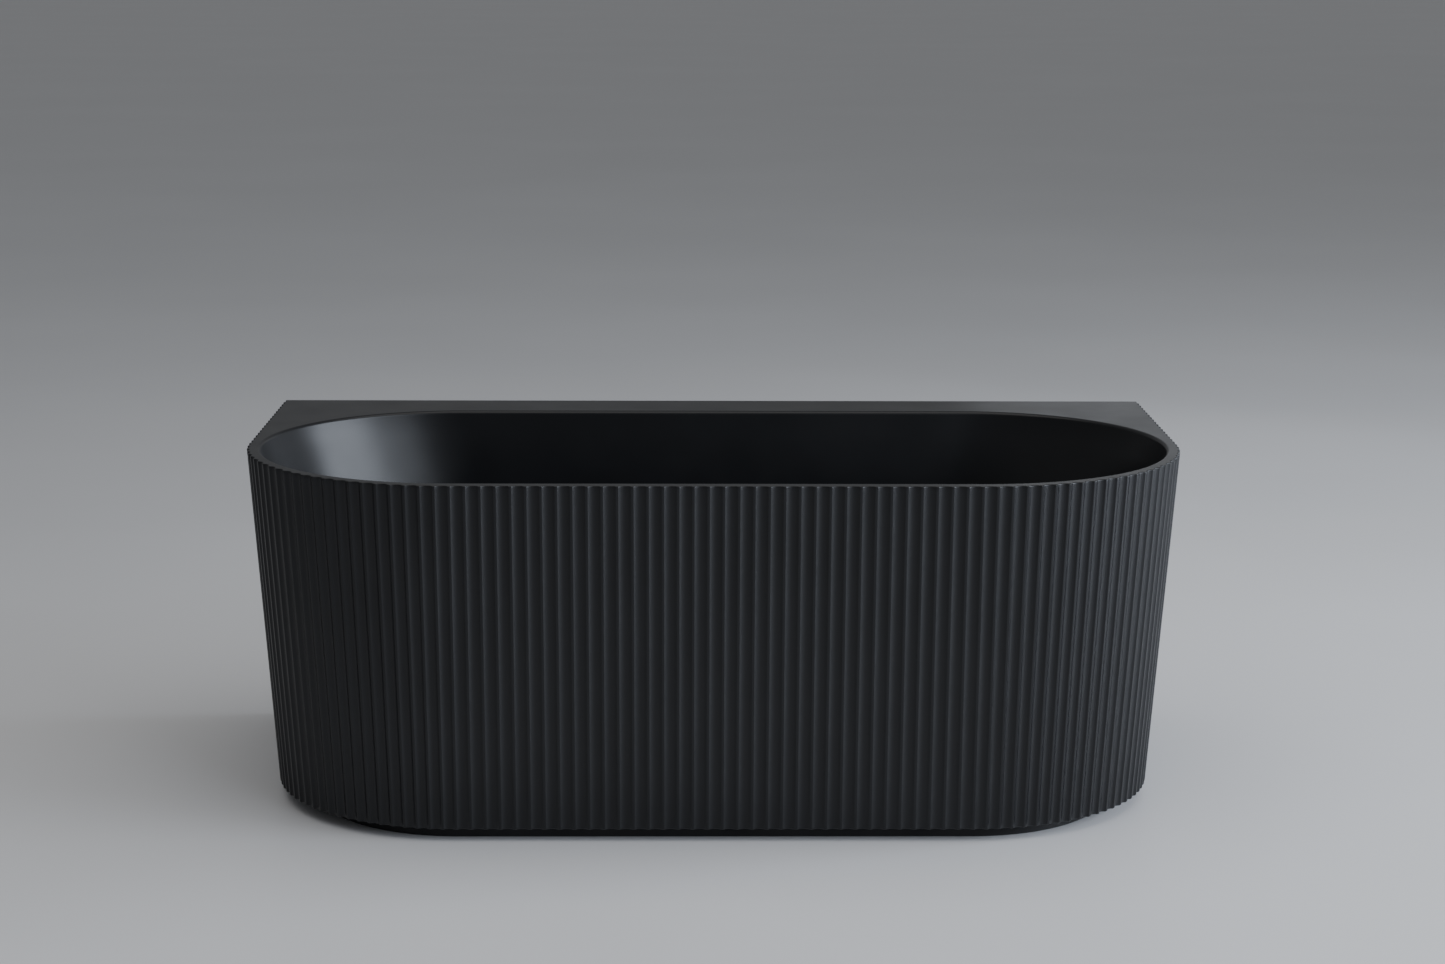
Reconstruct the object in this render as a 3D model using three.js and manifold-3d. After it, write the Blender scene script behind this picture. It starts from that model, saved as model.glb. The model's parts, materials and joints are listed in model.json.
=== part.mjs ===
// Back-to-wall freestanding bathtub with a fluted outer skirt.
//
// Millimetres. +X runs along the bath's length, the flat back that stands against the wall is at +Y,
// the fluted front is at -Y, and +Z is up. The origin is on the floor, under the middle of the bath.
//
// The bath is a D in plan: a straight back, a straight front and two large front corners. An inner
// basin hangs in a fluted outer skirt. A steel cradle on six levelling feet carries the basin, a low
// recessed plinth closes the gap to the floor, and a push-to-open waste is in the basin's floor.

import * as THREE from 'three';
import * as BufferGeometryUtils from 'three/addons/utils/BufferGeometryUtils.js';
import Module from 'manifold-3d';

const wasm = await Module();
wasm.setup();

// ---------------------------------------------------------------------------------------------
// Driving dimensions

const LENGTH = 1500;
const WIDTH = 760;
const HEIGHT = 570;
const GAP = 0.3; // clearance between pieces that touch

// The D-shaped outline, at the rim
const CORNER_RADIUS = 350;
const HALF_LENGTH = LENGTH / 2;
const FRONT_Y = -WIDTH / 2;
const BACK_Y = WIDTH / 2;
const ARC_X = HALF_LENGTH - CORNER_RADIUS; // centre of each front corner
const ARC_Y = FRONT_Y + CORNER_RADIUS;
const SKIRT_BOTTOM = 20;
const TAPER = 38; // how far the front and the ends draw in from the rim to the skirt's bottom edge

// Flutes: upright hollows side by side, with a narrow flat land between each two
const FLUTE_COUNT = 119;
const FLUTE_DEPTH = 4;
const FLUTE_SECTION = [
  { along: 0.105, depth: 0 },
  { along: 0.25, depth: 0.65 },
  { along: 0.5, depth: 1 },
  { along: 0.75, depth: 0.65 },
  { along: 0.895, depth: 0 },
]; // fractions of the flute's pitch, from the middle of a land, and of its depth

// Basin
const RIM_THICKNESS = 8;
const FRONT_RIM = 20;
const END_RIM = 16;
const DECK_WIDTH = 103; // the wider ledge along the back
const BASIN_WALL = 6;
const BOWL_DEPTH = 440;
const EDGE_RADIUS = 6; // round-over from the rim into the bowl
const EDGE_STEPS = 3;
const END_SLOPE = 0.36; // bowl wall's inward run for each unit of depth, at the two ends
const SIDE_SLOPE = 0.14; // and at the front and the back
const FILLET_HEIGHT = 100; // curve from the bowl's wall to its floor
const END_FILLET = 110;
const SIDE_FILLET = 90;
const FLOOR_TOP = HEIGHT - BOWL_DEPTH;
const FLOOR_BOTTOM = FLOOR_TOP - BASIN_WALL;

// Skirt, its flanges and the back panel
const SKIRT_WALL = 8.5; // from a crest to the smooth inner face
const SKIRT_TOP = HEIGHT - RIM_THICKNESS - GAP;
const FLANGE_THICKNESS = 6;
const FLANGE_OVERLAP = 12; // how far the bottom flange reaches over the plinth
const FLANGE_TOP = SKIRT_BOTTOM + GAP + FLANGE_THICKNESS;
const PANEL_THICKNESS = 7.7;
const PANEL_FRONT_Y = BACK_Y - PANEL_THICKNESS;
const RETURN_WIDTH = 34;
const RETURN_THICKNESS = 6;
const HATCH_HALF_WIDTH = 210;
const HATCH_LOW = 60;
const HATCH_HIGH = 300;

// Plinth, a smaller D that is set back further at the ends than at the front
const PLINTH_FRONT_INSET = 30; // behind the skirt's bottom edge
const PLINTH_END_INSET = 72;
const PLINTH_CORNER = 240;
const PLINTH_WIDTH = 20;
const PLINTH_BACK_Y = 366;
const PLINTH_ARC_X = HALF_LENGTH - TAPER - PLINTH_END_INSET - PLINTH_CORNER;
const PLINTH_ARC_Y = FRONT_Y + TAPER + PLINTH_FRONT_INSET + PLINTH_CORNER;

// Boards
const BOARD_THICKNESS = 15;
const BOARD_TOP = FLOOR_BOTTOM - GAP;
const BOARD_BOTTOM = BOARD_TOP - BOARD_THICKNESS;
const BOARD_HALF_LENGTH = 485;
const BOARD_HALF_WIDTH = 165;
const BOARD_HOLE_RADIUS = 40;
const BATTEN_THICKNESS = 18;
const BATTEN_HALF_LENGTH = 620;

// Cradle of square steel tube
const TUBE = 30;
const TUBE_WALL = 2;
const RAIL_TOP = BOARD_BOTTOM - GAP;
const RAIL_BOTTOM = RAIL_TOP - TUBE;
const RAIL_SPREAD = 150; // from the waste's centre to each rail's centre
const CROSSBAR_X = { left: -470, mid_left: -120, mid_right: 120, right: 470 };

// Levelling feet
const FOOT_X = [-420, 0, 420];
const FOOT_ROD_RADIUS = 6;
const FOOT_PAD_RADIUS = 28;
const FOOT_PAD_HEIGHT = 10;
const FOOT_ROD_TOP = 94;
const LOCKNUT_HEIGHT = 10;

// Waste, in the middle of the bowl's floor
const WASTE_Y = -44;
const WASTE_HOLE_RADIUS = 23;
const TAIL_RADIUS = 22;
const TAIL_BORE = 19;
const TAIL_BOTTOM = 60;
const FLANGE_RADIUS = 35;
const SEAL_THICKNESS = 1.4;
const WASTE_FLANGE_LOW = FLOOR_TOP + GAP + SEAL_THICKNESS + GAP;
const WASTE_FLANGE_HIGH = WASTE_FLANGE_LOW + 2.5;
const BRIDGE_LOW = 92;
const BRIDGE_HIGH = 96;

// Skirt brackets
const BRACKET_WIDTH = 40;
const BRACKET_THICKNESS = 3;
const BRACKET_LOW = FLANGE_TOP + GAP;
const BRACKET_HIGH = 100;
const BRACKET_REACH = 8; // how far a bracket's tip stays from the skirt's inner face
const FRONT_BRACKET_X = 300;

// ---------------------------------------------------------------------------------------------
// Materials

const finish = (color, roughness, metalness) => () =>
  new THREE.MeshStandardMaterial({ color, roughness, metalness });

const shellBlack = finish(0x151517, 0.4, 0.0);
const plinthBlack = finish(0x0d0d0e, 0.6, 0.0);
const boardBrown = finish(0xa8845a, 0.8, 0.0);
const zincSteel = finish(0xa9adb0, 0.4, 0.9);
const screwSteel = finish(0xc0c0bd, 0.35, 0.9);
const wasteBlack = finish(0x19191b, 0.35, 0.4);
const nutPlastic = finish(0x2b2b2d, 0.6, 0.0);
const sealRubber = finish(0x1b1b1b, 0.9, 0.0);
const padPlastic = finish(0x232325, 0.7, 0.0);

// ---------------------------------------------------------------------------------------------
// Geometry helpers

const bath = new THREE.Group();

function add(name, geometry, material) {
  const mesh = new THREE.Mesh(geometry, material());
  mesh.name = name;
  bath.add(mesh);
  return mesh;
}

function fromTriangles(triangles) {
  const geometry = new THREE.BufferGeometry();
  const values = triangles.flat().flatMap((p) => [p.x, p.y, p.z]);
  geometry.setAttribute('position', new THREE.Float32BufferAttribute(values, 3));
  return geometry;
}

const atHeight = (outline, z) => outline.map((p) => new THREE.Vector3(p.x, p.y, z));

// The wall between two rings of points that match one to one. Both run counter-clockwise, and the
// wall faces away from the middle when `upper` is above `lower`.
function wall(lower, upper) {
  const triangles = [];
  for (let i = 0; i < lower.length; i += 1) {
    const j = (i + 1) % lower.length;
    triangles.push([lower[i], lower[j], upper[j]]);
    triangles.push([lower[i], upper[j], upper[i]]);
  }
  return triangles;
}

// A flat face inside an outline at height z, with round or other holes, facing up or down
function face(outline, holes, z, facesUp) {
  const points = atHeight([...outline, ...holes.flat()], z);
  const triangles = THREE.ShapeUtils.triangulateShape([...outline], holes.map((h) => [...h]));
  return triangles.map(([a, b, c]) => {
    const order = facesUp ? [a, b, c] : [a, c, b];
    return order.map((i) => points[i]);
  });
}

// A solid between two flat outlines that match point to point
function loft(lowOutline, lowZ, highOutline, highZ) {
  return fromTriangles([
    ...wall(atHeight(lowOutline, lowZ), atHeight(highOutline, highZ)),
    ...face(lowOutline, [], lowZ, false),
    ...face(highOutline, [], highZ, true),
  ]);
}

function toSolid(geometry) {
  const plain = geometry.index ? geometry.toNonIndexed() : geometry.clone();
  plain.deleteAttribute('normal');
  plain.deleteAttribute('uv');
  const merged = BufferGeometryUtils.mergeVertices(plain, 1e-4);
  return new wasm.Manifold(new wasm.Mesh({
    numProp: 3,
    vertProperties: Float32Array.from(merged.attributes.position.array),
    triVerts: Uint32Array.from(merged.index.array),
  }));
}

function toGeometry(solid) {
  const mesh = solid.getMesh();
  const geometry = new THREE.BufferGeometry();
  geometry.setAttribute('position', new THREE.BufferAttribute(mesh.vertProperties, 3));
  geometry.setIndex(new THREE.BufferAttribute(mesh.triVerts, 1));
  return geometry;
}

const join = (...geometries) =>
  toGeometry(geometries.map(toSolid).reduce((whole, piece) => whole.add(piece)));

const cut = (body, ...tools) =>
  toGeometry(tools.map(toSolid).reduce((rest, tool) => rest.subtract(tool), toSolid(body)));

function box(lowX, highX, lowY, highY, lowZ, highZ) {
  const geometry = new THREE.BoxGeometry(highX - lowX, highY - lowY, highZ - lowZ);
  return geometry.translate((lowX + highX) / 2, (lowY + highY) / 2, (lowZ + highZ) / 2);
}

function rod(radius, lowZ, highZ, sides = 24) {
  const geometry = new THREE.CylinderGeometry(radius, radius, highZ - lowZ, sides);
  return geometry.rotateX(Math.PI / 2).translate(0, 0, (lowZ + highZ) / 2);
}

// A turned piece about the Z axis, from [radius, z] pairs that go up its outside
function turned(profile, sides = 24) {
  const points = profile.map(([radius, z]) => new THREE.Vector2(radius, z));
  return new THREE.LatheGeometry(points, sides).rotateX(Math.PI / 2);
}

// A turned ring, from its inner and outer radius and its two heights
function ring(inner, outer, lowZ, highZ, sides = 24) {
  return turned([[inner, lowZ], [outer, lowZ], [outer, highZ], [inner, highZ], [inner, lowZ]], sides);
}

// ---------------------------------------------------------------------------------------------
// Outlines

const insetAt = (z) => (TAPER * (HEIGHT - z)) / (HEIGHT - SKIRT_BOTTOM);

const ARC_LENGTH = (CORNER_RADIUS * Math.PI) / 2;
const HALF_PATH = ARC_X + ARC_LENGTH + (BACK_Y - ARC_Y); // from the front's middle to a back corner

// A point of the skirt's outline. `along` is measured at the rim from the middle of the front and is
// negative to the left, and `inset` is how far the point lies inside the rim's outline.
function outlinePoint(along, inset) {
  const side = Math.sign(along) || 1;
  const run = Math.abs(along);
  if (run <= ARC_X) {
    return new THREE.Vector2(along, FRONT_Y + inset);
  }
  if (run <= ARC_X + ARC_LENGTH) {
    const angle = (run - ARC_X) / CORNER_RADIUS;
    const radius = CORNER_RADIUS - inset;
    return new THREE.Vector2(
      side * (ARC_X + radius * Math.sin(angle)),
      ARC_Y - radius * Math.cos(angle),
    );
  }
  return new THREE.Vector2(side * (HALF_LENGTH - inset), ARC_Y + run - ARC_X - ARC_LENGTH);
}

// The fluted line from the left back corner, round the front, to the right back corner
function flutedPath(z) {
  const pitch = (2 * HALF_PATH) / FLUTE_COUNT;
  const path = [outlinePoint(-HALF_PATH, insetAt(z))];
  for (let flute = 0; flute < FLUTE_COUNT; flute += 1) {
    for (const { along, depth } of FLUTE_SECTION) {
      const place = -HALF_PATH + (flute + along) * pitch;
      path.push(outlinePoint(place, insetAt(z) + depth * FLUTE_DEPTH));
    }
  }
  path.push(outlinePoint(HALF_PATH, insetAt(z)));
  return path;
}

// The same line without flutes, set in by `inset` from the rim's outline
function smoothPath(inset, arcSteps = 14) {
  const path = [outlinePoint(-HALF_PATH, inset)];
  for (let i = arcSteps; i >= 0; i -= 1) {
    path.push(outlinePoint(-ARC_X - (ARC_LENGTH * i) / arcSteps, inset));
  }
  for (let i = 0; i <= arcSteps; i += 1) {
    path.push(outlinePoint(ARC_X + (ARC_LENGTH * i) / arcSteps, inset));
  }
  path.push(outlinePoint(HALF_PATH, inset));
  return path;
}

// The plinth's outer line, or a line set in from it
function plinthPath(inset, endY, arcSteps = 14) {
  const radius = PLINTH_CORNER - inset;
  const right = [];
  for (let i = 0; i <= arcSteps; i += 1) {
    const angle = ((i / arcSteps) * Math.PI) / 2;
    right.push(new THREE.Vector2(
      PLINTH_ARC_X + radius * Math.sin(angle),
      PLINTH_ARC_Y - radius * Math.cos(angle),
    ));
  }
  right.push(new THREE.Vector2(PLINTH_ARC_X + radius, endY));
  return [...right.map((p) => new THREE.Vector2(-p.x, p.y)).reverse(), ...right];
}

// A closed band between an outer line and an inner one
const band = (outer, inner) => [...outer, ...inner.slice().reverse()];

function circle(radius, centreY = 0, sides = 24) {
  const points = [];
  for (let i = 0; i < sides; i += 1) {
    const angle = (i / sides) * 2 * Math.PI;
    points.push(new THREE.Vector2(radius * Math.cos(angle), centreY + radius * Math.sin(angle)));
  }
  return points;
}

// One level of the bowl: four quarter arcs whose ends meet on the line y = ARC_Y
function bowlOutline(endInset, sideInset, steps = 12) {
  const halfLength = HALF_LENGTH - END_RIM - endInset;
  const frontRadius = ARC_Y - (FRONT_Y + FRONT_RIM + sideInset);
  const backRadius = BACK_Y - DECK_WIDTH - sideInset - ARC_Y;
  const right = [];
  for (let i = 0; i <= steps; i += 1) {
    const angle = ((i / steps) * Math.PI) / 2;
    right.push(new THREE.Vector2(
      halfLength - frontRadius * (1 - Math.sin(angle)),
      ARC_Y - frontRadius * Math.cos(angle),
    ));
  }
  for (let i = 1; i <= steps; i += 1) {
    const angle = ((i / steps) * Math.PI) / 2;
    right.push(new THREE.Vector2(
      halfLength - backRadius * (1 - Math.cos(angle)),
      ARC_Y + backRadius * Math.sin(angle),
    ));
  }
  const left = right.map((p) => new THREE.Vector2(-p.x, p.y)).reverse();
  return [...right, ...left];
}

// The bowl's levels from the rim down to its floor. `thicken` moves them outwards, for the underside.
function bowlLevels(thicken) {
  const levels = [];
  for (let i = 0; i <= EDGE_STEPS; i += 1) {
    const angle = ((i / EDGE_STEPS) * Math.PI) / 2;
    const inset = EDGE_RADIUS * Math.sin(angle);
    levels.push({ depth: EDGE_RADIUS * (1 - Math.cos(angle)), end: inset, side: inset });
  }
  const wallRun = BOWL_DEPTH - FILLET_HEIGHT - EDGE_RADIUS;
  const endFoot = EDGE_RADIUS + END_SLOPE * wallRun;
  const sideFoot = EDGE_RADIUS + SIDE_SLOPE * wallRun;
  const filletSteps = 4;
  for (let i = 0; i <= filletSteps; i += 1) {
    const angle = ((i / filletSteps) * Math.PI) / 2;
    levels.push({
      depth: BOWL_DEPTH - FILLET_HEIGHT * (1 - Math.sin(angle)),
      end: endFoot + END_FILLET * (1 - Math.cos(angle)),
      side: sideFoot + SIDE_FILLET * (1 - Math.cos(angle)),
    });
  }
  return levels.map(({ depth, end, side }) => {
    const drop = thicken * Math.max(0, (depth - BOWL_DEPTH + FILLET_HEIGHT) / FILLET_HEIGHT);
    return atHeight(bowlOutline(end - thicken, side - thicken), HEIGHT - depth - drop);
  });
}

// ---------------------------------------------------------------------------------------------
// Shells

function basinGeometry() {
  const rimTop = flutedPath(HEIGHT);
  const lipBottom = HEIGHT - RIM_THICKNESS;
  const rimUnder = flutedPath(lipBottom);
  const inside = bowlLevels(0);
  const underLip = atHeight(bowlOutline(EDGE_RADIUS - BASIN_WALL, EDGE_RADIUS - BASIN_WALL), lipBottom);
  const underside = [underLip, ...bowlLevels(BASIN_WALL).slice(EDGE_STEPS + 1)];
  const hole = circle(WASTE_HOLE_RADIUS, WASTE_Y);
  const triangles = [
    ...wall(atHeight(rimUnder, lipBottom), atHeight(rimTop, HEIGHT)),
    ...face(rimTop, [inside[0]], HEIGHT, true),
    ...face(rimUnder, [underside[0]], lipBottom, false),
    ...face(inside.at(-1), [hole], FLOOR_TOP, true),
    ...face(underside.at(-1), [hole], FLOOR_BOTTOM, false),
    ...wall(atHeight(hole, FLOOR_TOP), atHeight(hole, FLOOR_BOTTOM)),
  ];
  for (let i = 1; i < inside.length; i += 1) {
    triangles.push(...wall(inside[i - 1], inside[i]));
  }
  for (let i = 1; i < underside.length; i += 1) {
    triangles.push(...wall(underside[i], underside[i - 1]));
  }
  return fromTriangles(triangles);
}

function skirtGeometry() {
  const low = SKIRT_BOTTOM + GAP;
  const shellAt = (z) => band(flutedPath(z), smoothPath(insetAt(z) + SKIRT_WALL));
  const shell = loft(shellAt(low), low, shellAt(SKIRT_TOP), SKIRT_TOP);
  const flangeOuter = insetAt(low) + SKIRT_WALL - 1;
  const flange = band(smoothPath(flangeOuter), plinthPath(FLANGE_OVERLAP, BACK_Y));
  const pieces = [shell, loft(flange, low, flange, FLANGE_TOP)];
  for (const side of [-1, 1]) {
    pieces.push(rearReturn(side, low));
  }
  return cut(join(...pieces), ...bracketList().map((bracket) => bracketScrew(bracket, GAP)));
}

// The skirt's upright flange beside the back panel, which follows the end's slope
function rearReturn(side, low) {
  const high = SKIRT_TOP;
  const outlineAt = (z) => {
    const outer = side * (HALF_LENGTH - insetAt(z) - SKIRT_WALL + 1);
    const inner = outer - side * RETURN_WIDTH;
    const y = PANEL_FRONT_Y - GAP;
    const corners = [
      new THREE.Vector2(Math.min(outer, inner), y - RETURN_THICKNESS),
      new THREE.Vector2(Math.max(outer, inner), y - RETURN_THICKNESS),
      new THREE.Vector2(Math.max(outer, inner), y),
      new THREE.Vector2(Math.min(outer, inner), y),
    ];
    return corners;
  };
  return loft(outlineAt(low), low, outlineAt(high), high);
}

function rearPanelGeometry() {
  const low = SKIRT_BOTTOM + GAP;
  const outlineAt = (z) => {
    const half = HALF_LENGTH - insetAt(z) - SKIRT_WALL - GAP;
    return [
      new THREE.Vector2(-half, PANEL_FRONT_Y),
      new THREE.Vector2(half, PANEL_FRONT_Y),
      new THREE.Vector2(half, BACK_Y),
      new THREE.Vector2(-half, BACK_Y),
    ];
  };
  // The skirt's bottom flange runs to the back, so the panel stands on it.
  const panel = loft(outlineAt(FLANGE_TOP + GAP), FLANGE_TOP + GAP, outlineAt(SKIRT_TOP), SKIRT_TOP);
  const hatch = box(
    -HATCH_HALF_WIDTH, HATCH_HALF_WIDTH, PANEL_FRONT_Y - 5, BACK_Y + 5, HATCH_LOW, HATCH_HIGH,
  );
  return cut(panel, hatch, ...panelScrewPlaces().map((place) => panelScrew(place, GAP)));
}

// ---------------------------------------------------------------------------------------------
// Boards and plinth

function plinthGeometry() {
  const outer = plinthPath(0, PLINTH_BACK_Y);
  const inner = plinthPath(PLINTH_WIDTH, PLINTH_BACK_Y - PLINTH_WIDTH);
  return fromTriangles([
    ...wall(atHeight(outer, 0), atHeight(outer, SKIRT_BOTTOM)),
    ...wall(atHeight(inner, SKIRT_BOTTOM), atHeight(inner, 0)),
    ...face(outer, [inner], SKIRT_BOTTOM, true),
    ...face(outer, [inner], 0, false),
  ]);
}

function baseBoardGeometry() {
  const board = box(
    -BOARD_HALF_LENGTH, BOARD_HALF_LENGTH,
    WASTE_Y - BOARD_HALF_WIDTH, WASTE_Y + BOARD_HALF_WIDTH,
    BOARD_BOTTOM, BOARD_TOP,
  );
  const wasteHole = rod(BOARD_HOLE_RADIUS, BOARD_BOTTOM - 5, BOARD_TOP + 5).translate(0, WASTE_Y, 0);
  return cut(board, wasteHole, ...cradleScrewPlaces().map((place) => cradleScrew(place, GAP)));
}

function deckBattenGeometry() {
  const lowY = BACK_Y - DECK_WIDTH + 10;
  const highY = PANEL_FRONT_Y - GAP - RETURN_THICKNESS - GAP;
  const batten = box(
    -BATTEN_HALF_LENGTH, BATTEN_HALF_LENGTH, lowY, highY, SKIRT_TOP - BATTEN_THICKNESS, SKIRT_TOP,
  );
  return cut(batten, ...panelScrewPlaces().map((place) => panelScrew(place, GAP)));
}

// ---------------------------------------------------------------------------------------------
// Screws

// A countersunk screw that points along -Z from a head at z = 0, grown all round by `margin`
function screwGeometry(length, margin) {
  const head = 4.2 + margin;
  const shank = 2 + margin;
  return turned([
    [0, -length - margin],
    [shank, -length + shank],
    [shank, -3],
    [head, -0.6],
    [head, margin],
    [0, margin],
  ], 10);
}

const PANEL_SCREW_X = [-480, -160, 160, 480];
const PANEL_SCREW_Z = SKIRT_TOP - BATTEN_THICKNESS / 2;
const panelScrewPlaces = () => PANEL_SCREW_X;
const CRADLE_SCREW_X = 300;
const cradleScrewPlaces = () => [-1, 1].flatMap((sideX) => [-1, 1].map((sideY) => [
  sideX * CRADLE_SCREW_X,
  WASTE_Y + sideY * RAIL_SPREAD,
]));

// Runs from the back panel's outer face into the deck batten
function panelScrew(x, margin = 0) {
  return screwGeometry(30, margin).rotateX(-Math.PI / 2).translate(x, BACK_Y - 1, PANEL_SCREW_Z);
}

// Runs up through a rail's top wall into the base board, with its head inside the rail
function cradleScrew([x, y], margin = 0) {
  return screwGeometry(14, margin).rotateX(Math.PI).translate(x, y, RAIL_TOP - TUBE_WALL - 1.4);
}

// Runs down through a bracket into the skirt's bottom flange
function bracketScrew({ tipX, tipY }, margin = 0) {
  return screwGeometry(8, margin).translate(tipX, tipY, BRACKET_LOW + BRACKET_THICKNESS + 0.6);
}

// ---------------------------------------------------------------------------------------------
// Cradle and feet

// A square tube along X, from lowX to highX
function tubeAlongX(lowX, highX, y) {
  const outer = box(lowX, highX, y - TUBE / 2, y + TUBE / 2, RAIL_BOTTOM, RAIL_TOP);
  const bore = TUBE / 2 - TUBE_WALL;
  const inner = box(
    lowX - 5, highX + 5, y - bore, y + bore, RAIL_BOTTOM + TUBE_WALL, RAIL_TOP - TUBE_WALL,
  );
  return cut(outer, inner);
}

function railGeometry(y) {
  const half = CROSSBAR_X.right + TUBE / 2;
  const holes = FOOT_X.map((x) =>
    rod(FOOT_ROD_RADIUS + 0.5, RAIL_BOTTOM - 5, RAIL_BOTTOM + 5, 16).translate(x, y, 0));
  const screws = cradleScrewPlaces()
    .filter(([, screwY]) => screwY === y)
    .map((place) => cradleScrew(place, GAP));
  return cut(tubeAlongX(-half, half, y), ...holes, ...screws);
}

// A square tube along Y between the two rails
function crossbarGeometry(x) {
  const half = RAIL_SPREAD - TUBE / 2 - GAP;
  return tubeAlongX(-half, half, 0).rotateZ(Math.PI / 2).translate(x, WASTE_Y, 0);
}

function footPadGeometry() {
  return turned([
    [0, 0],
    [FOOT_PAD_RADIUS, 0],
    [FOOT_PAD_RADIUS, 3],
    [13, FOOT_PAD_HEIGHT],
    [0, FOOT_PAD_HEIGHT],
  ], 20);
}

function footRodGeometry() {
  const low = FOOT_PAD_HEIGHT + GAP;
  return turned([
    [0, low],
    [10, low],
    [10, low + 5],
    [FOOT_ROD_RADIUS, low + 5],
    [FOOT_ROD_RADIUS, FOOT_ROD_TOP - 1.5],
    [FOOT_ROD_RADIUS - 1.5, FOOT_ROD_TOP],
    [0, FOOT_ROD_TOP],
  ], 12);
}

function locknutGeometry() {
  const high = RAIL_BOTTOM - GAP;
  return cut(
    rod(11, high - LOCKNUT_HEIGHT, high, 6),
    rod(FOOT_ROD_RADIUS + 0.4, high - LOCKNUT_HEIGHT - 5, high + 5, 16),
  );
}

function addFeet() {
  let number = 1;
  for (const y of [WASTE_Y - RAIL_SPREAD, WASTE_Y + RAIL_SPREAD]) {
    for (const x of FOOT_X) {
      add(`foot_pad_${number}`, footPadGeometry(), padPlastic).position.set(x, y, 0);
      add(`foot_rod_${number}`, footRodGeometry(), zincSteel).position.set(x, y, 0);
      add(`foot_locknut_${number}`, locknutGeometry(), zincSteel).position.set(x, y, 0);
      number += 1;
    }
  }
}

// ---------------------------------------------------------------------------------------------
// Brackets between the cradle and the skirt

// Each bracket's foot lies on the skirt's bottom flange, and its upright leg is welded to the cradle.
function bracketList() {
  const inner = insetAt(BRACKET_LOW) + SKIRT_WALL + BRACKET_REACH;
  const screwInset = inner + 12;
  const frontRail = WASTE_Y - RAIL_SPREAD - TUBE / 2 - GAP;
  const endBar = CROSSBAR_X.right + TUBE / 2 + GAP;
  const brackets = [];
  for (const x of [-FRONT_BRACKET_X, FRONT_BRACKET_X]) {
    brackets.push({
      foot: [x - BRACKET_WIDTH / 2, x + BRACKET_WIDTH / 2, FRONT_Y + inner, frontRail],
      leg: [x - BRACKET_WIDTH / 2, x + BRACKET_WIDTH / 2, frontRail - BRACKET_THICKNESS, frontRail],
      tipX: x,
      tipY: FRONT_Y + screwInset,
    });
  }
  for (const side of [-1, 1]) {
    const span = (near, far) => (side > 0 ? [near, far] : [-far, -near]);
    const wide = [WASTE_Y - BRACKET_WIDTH / 2, WASTE_Y + BRACKET_WIDTH / 2];
    brackets.push({
      foot: [...span(endBar, HALF_LENGTH - inner), ...wide],
      leg: [...span(endBar, endBar + BRACKET_THICKNESS), ...wide],
      tipX: side * (HALF_LENGTH - screwInset),
      tipY: WASTE_Y,
    });
  }
  return brackets;
}

function bracketGeometry(bracket) {
  const foot = box(...bracket.foot, BRACKET_LOW, BRACKET_LOW + BRACKET_THICKNESS);
  const leg = box(...bracket.leg, BRACKET_LOW, BRACKET_HIGH);
  return cut(join(foot, leg), bracketScrew(bracket, GAP));
}

// ---------------------------------------------------------------------------------------------
// Waste

// The flange and its threaded tail are one casting, with a bridge that holds the cartridge.
function wasteFlangeGeometry() {
  const shell = turned([
    [TAIL_BORE, TAIL_BOTTOM],
    [TAIL_RADIUS, TAIL_BOTTOM],
    [TAIL_RADIUS, WASTE_FLANGE_LOW],
    [FLANGE_RADIUS, WASTE_FLANGE_LOW],
    [FLANGE_RADIUS - 1, WASTE_FLANGE_HIGH],
    [TAIL_BORE, WASTE_FLANGE_HIGH],
    [TAIL_BORE, TAIL_BOTTOM],
  ]);
  const arm = box(-TAIL_BORE - 1, TAIL_BORE + 1, -2, 2, BRIDGE_LOW, BRIDGE_HIGH);
  const hub = rod(8, BRIDGE_LOW, BRIDGE_HIGH, 16);
  return join(shell, arm, hub);
}

function addWaste() {
  const place = (mesh) => mesh.position.setY(WASTE_Y);
  const sealLow = FLOOR_BOTTOM - GAP - 2.5;
  const nutHigh = sealLow - GAP;
  const capLow = WASTE_FLANGE_HIGH + GAP;
  place(add('waste_flange', wasteFlangeGeometry(), wasteBlack));
  place(add(
    'waste_seal_upper',
    ring(TAIL_RADIUS + GAP, FLANGE_RADIUS - 2, FLOOR_TOP + GAP, FLOOR_TOP + GAP + SEAL_THICKNESS),
    sealRubber,
  ));
  place(add('waste_seal_lower', ring(TAIL_RADIUS + GAP, 33, sealLow, sealLow + 2.5), sealRubber));
  const nut = cut(rod(34, nutHigh - 12, nutHigh, 8), rod(TAIL_RADIUS + GAP, nutHigh - 20, nutHigh + 5));
  place(add('waste_backnut', nut, nutPlastic));
  place(add('plug_cartridge', ring(3.2, 6, BRIDGE_HIGH + GAP, 120, 16), screwSteel));
  place(add('plug_stem', rod(2.5, 100, capLow + 2, 12), screwSteel));
  place(add('plug_cap', plugCapGeometry(capLow), wasteBlack));
  place(add('plug_seal', ring(12, TAIL_BORE - GAP, capLow - 3, capLow - GAP), sealRubber));
}

// A shallow dome with a socket under it for the stem
function plugCapGeometry(low) {
  return turned([
    [0, low + 2 + GAP],
    [2.5 + GAP, low + 2 + GAP],
    [2.5 + GAP, low],
    [31, low],
    [31.5, low + 1.5],
    [29, low + 3.5],
    [18, low + 5.5],
    [0, low + 6.5],
  ]);
}

// ---------------------------------------------------------------------------------------------
// Assembly

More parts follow.
